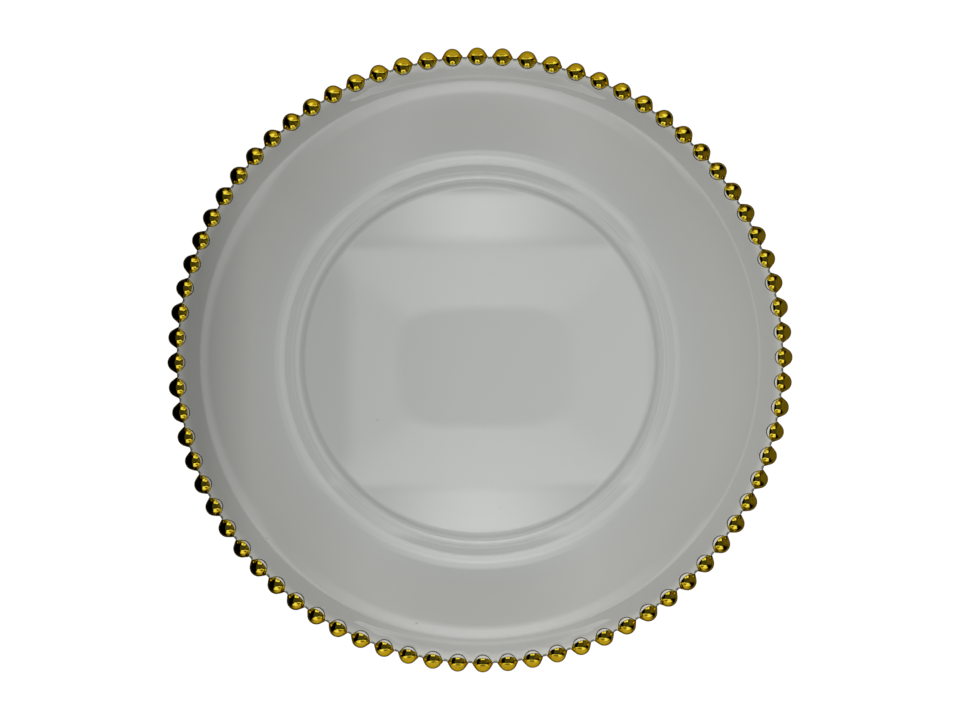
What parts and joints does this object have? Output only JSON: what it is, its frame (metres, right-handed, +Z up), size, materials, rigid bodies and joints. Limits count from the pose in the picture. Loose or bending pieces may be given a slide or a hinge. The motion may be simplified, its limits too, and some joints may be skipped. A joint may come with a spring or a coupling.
{
  "type": "charger plate",
  "caption": "Round clear glass charger plate with a wide shallow wall and a rim of round glass beads coated in gold lustre.",
  "frame": {"origin": "centre of the plate, on the surface that the foot ring stands on", "axes": "+Z up through the middle of the plate; +X and +Y each point at a bead"},
  "size_m": [0.33, 0.33, 0.0205],
  "materials": {
    "clear_glass": "pressed clear soda-lime glass, fire polished, faint grey-green cast",
    "gold_lustre": "bright fired gold lustre, mirror smooth"
  },
  "bodies": {
    "root": {"glass_plate": "clear_glass", "gold_coat_pair_01": "gold_lustre", "gold_coat_pair_02": "gold_lustre", "gold_coat_pair_03": "gold_lustre", "gold_coat_pair_04": "gold_lustre", "gold_coat_pair_05": "gold_lustre", "gold_coat_pair_06": "gold_lustre", "gold_coat_pair_07": "gold_lustre", "gold_coat_pair_08": "gold_lustre", "gold_coat_pair_09": "gold_lustre", "gold_coat_pair_10": "gold_lustre", "gold_coat_pair_11": "gold_lustre", "gold_coat_pair_12": "gold_lustre", "gold_coat_pair_13": "gold_lustre", "gold_coat_pair_14": "gold_lustre", "gold_coat_pair_15": "gold_lustre", "gold_coat_pair_16": "gold_lustre", "gold_coat_pair_17": "gold_lustre", "gold_coat_pair_18": "gold_lustre", "gold_coat_pair_19": "gold_lustre", "gold_coat_pair_20": "gold_lustre", "gold_coat_pair_21": "gold_lustre", "gold_coat_pair_22": "gold_lustre", "gold_coat_pair_23": "gold_lustre", "gold_coat_pair_24": "gold_lustre", "gold_coat_pair_25": "gold_lustre", "gold_coat_pair_26": "gold_lustre", "gold_coat_pair_27": "gold_lustre", "gold_coat_pair_28": "gold_lustre", "gold_coat_pair_29": "gold_lustre", "gold_coat_pair_30": "gold_lustre", "gold_coat_pair_31": "gold_lustre", "gold_coat_pair_32": "gold_lustre", "gold_coat_pair_33": "gold_lustre", "gold_coat_pair_34": "gold_lustre", "gold_coat_pair_35": "gold_lustre", "gold_coat_pair_36": "gold_lustre", "gold_coat_pair_37": "gold_lustre", "gold_coat_pair_38": "gold_lustre"}
  },
  "joints": []
}
